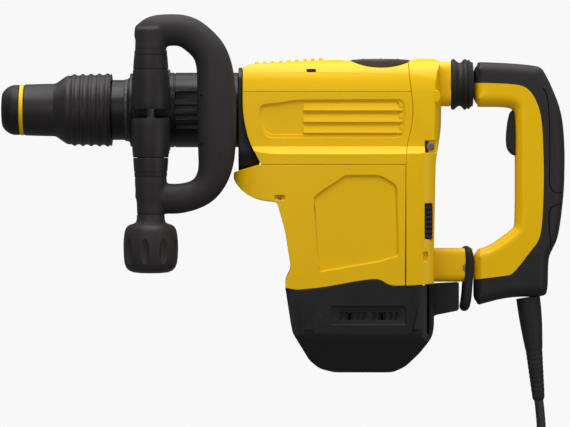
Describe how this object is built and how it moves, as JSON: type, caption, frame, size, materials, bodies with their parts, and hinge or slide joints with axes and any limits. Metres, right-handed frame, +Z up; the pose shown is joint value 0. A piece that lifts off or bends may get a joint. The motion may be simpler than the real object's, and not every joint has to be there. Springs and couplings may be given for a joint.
{
  "type": "demolition hammer",
  "caption": "Corded electric demolition hammer with a locking tool holder, upright motor, damped D-shaped rear handle and a loop side handle clamped round the barrel.",
  "frame": {"origin": "middle of the rear grip, where a hand holds the tool", "axes": "+X runs from the nose to the rear grip along the hammer's axis, +Y to the tool's right side, +Z up"},
  "size_m": [0.5616, 0.2039, 0.4604],
  "materials": {
    "yellow_plastic": "satin moulded plastic",
    "black_plastic": "fine-grained moulded plastic",
    "black_rubber": "matt",
    "cord_sheath": "matt extruded",
    "cast_metal": "painted casting",
    "hardened_steel": "ground",
    "bright_steel": "plated",
    "lamination": "stacked sheet",
    "copper": "copper",
    "carbon": "pressed carbon",
    "circuit": "potted circuit board"
  },
  "bodies": {
    "housing": {"barrel_housing": "cast_metal", "gearbox_housing": "cast_metal", "top_cover": "yellow_plastic", "side_cover_left": "yellow_plastic", "side_cover_right": "yellow_plastic", "motor_housing": "yellow_plastic", "rear_housing": "yellow_plastic", "motor_end_cap": "black_plastic", "cylinder_tube": "hardened_steel", "crank_bearing": "hardened_steel", "motor_bearing_upper": "hardened_steel", "motor_bearing_lower": "hardened_steel", "stator_core": "lamination", "stator_windings": "copper", "brush_holder_left": "copper", "brush_holder_right": "copper", "carbon_brush_left": "carbon", "carbon_brush_right": "carbon", "electronics_module": "circuit", "snap_ring": "bright_steel", "handle_pivot_pin": "hardened_steel", "lower_gaiter": "black_rubber", "upper_bellows": "black_rubber", "damper_spring": "bright_steel"},
    "tool_holder": {"tool_holder": "hardened_steel", "nose_cap": "black_rubber", "nose_ring": "yellow_plastic", "lock_roller_upper": "hardened_steel", "lock_roller_lower": "hardened_steel", "sleeve_spring": "bright_steel"},
    "locking_sleeve": {"locking_sleeve": "black_plastic"},
    "beat_piece": {"beat_piece": "hardened_steel"},
    "ram": {"ram": "hardened_steel"},
    "piston": {"piston": "hardened_steel"},
    "rotor": {"rotor_shaft": "hardened_steel", "rotor_core": "lamination", "commutator": "copper", "cooling_fan": "black_plastic"},
    "crank": {"crank_gear": "hardened_steel"},
    "connecting_rod": {"connecting_rod": "hardened_steel"},
    "handle_clamp": {"clamp_strap": "bright_steel", "clamp_jaw_upper": "black_plastic", "clamp_jaw_lower": "black_plastic"},
    "loop": {"loop_grip": "black_rubber", "detent_collar_upper": "black_plastic", "detent_collar_lower": "black_plastic"},
    "clamp_knob": {"clamp_knob": "black_rubber", "clamp_bolt": "bright_steel"},
    "speed_dial": {"speed_dial": "black_plastic"},
    "rear_handle": {"handle_shell": "yellow_plastic", "handle_overmould": "black_rubber", "handle_underside": "black_plastic", "switch_module": "black_plastic", "trigger_spring": "bright_steel", "strain_relief": "black_rubber", "power_cord": "cord_sheath", "cord_coil": "cord_sheath", "cord_tail": "cord_sheath", "plug_body": "black_plastic"},
    "trigger": {"trigger": "black_plastic"}
  },
  "joints": [
    {"name": "tool_holder_index", "type": "hinge", "parent": "housing", "child": "tool_holder", "pos_m": [-0.42, 0, 0.068], "axis": [1, 0, 0], "continuous": true},
    {"name": "lock_sleeve_pull", "type": "slide", "parent": "tool_holder", "child": "locking_sleeve", "axis": [1, 0, 0], "range_m": [0, 0.01], "stiffness_N_per_m": 900, "springref_m": -0.012, "deforming": ["sleeve_spring"]},
    {"name": "beat_piece_slide", "type": "slide", "parent": "housing", "child": "beat_piece", "axis": [1, 0, 0], "range_m": [0, 0.008]},
    {"name": "ram_slide", "type": "slide", "parent": "housing", "child": "ram", "axis": [1, 0, 0], "range_m": [-0.006, 0.028]},
    {"name": "piston_slide", "type": "slide", "parent": "housing", "child": "piston", "axis": [1, 0, 0], "range_m": [0, 0.026]},
    {"name": "rotor_spin", "type": "hinge", "parent": "housing", "child": "rotor", "pos_m": [-0.1915, 0, 0], "axis": [0, 0, 1], "continuous": true},
    {"name": "crank_spin", "type": "hinge", "parent": "housing", "child": "crank", "pos_m": [-0.154, 0, 0.068], "axis": [0, 0, 1], "continuous": true},
    {"name": "rod_swing", "type": "hinge", "parent": "crank", "child": "connecting_rod", "pos_m": [-0.167, 0, 0.068], "axis": [0, 0, 1], "continuous": true},
    {"name": "side_handle_turn", "type": "hinge", "parent": "housing", "child": "handle_clamp", "pos_m": [-0.38605, 0, 0.068], "axis": [1, 0, 0], "range_deg": [-200, 20]},
    {"name": "loop_swing", "type": "hinge", "parent": "handle_clamp", "child": "loop", "pos_m": [-0.38605, -0.0535, 0.068], "axis": [0, 0, 1], "range_deg": [-150, 0]},
    {"name": "clamp_knob_turn", "type": "hinge", "parent": "loop", "child": "clamp_knob", "pos_m": [-0.38605, -0.0535, -0.06], "axis": [0, 0, 1], "continuous": true},
    {"name": "speed_dial_turn", "type": "hinge", "parent": "housing", "child": "speed_dial", "pos_m": [-0.159, 0, 0.115], "axis": [0, 0, 1], "range_deg": [0, 300]},
    {"name": "rear_handle_float", "type": "hinge", "parent": "housing", "child": "rear_handle", "pos_m": [-0.073, 0, -0.09], "axis": [0, 1, 0], "range_deg": [-2, 0], "stiffness_Nm_per_rad": 420, "springref_deg": 1.15, "deforming": ["upper_bellows", "damper_spring"]},
    {"name": "trigger_pull", "type": "hinge", "parent": "rear_handle", "child": "trigger", "pos_m": [-0.025, 0, 0.066], "axis": [0, 1, 0], "range_deg": [-7, 0], "stiffness_Nm_per_rad": 1.2, "springref_deg": 6.88, "deforming": ["trigger_spring"]}
  ],
  "couplings": [
    {"joint": "crank_spin", "follows": "rotor_spin", "ratio": -0.21951},
    {"joint": "rod_swing", "follows": "rotor_spin", "ratio": 0.21951}
  ]
}
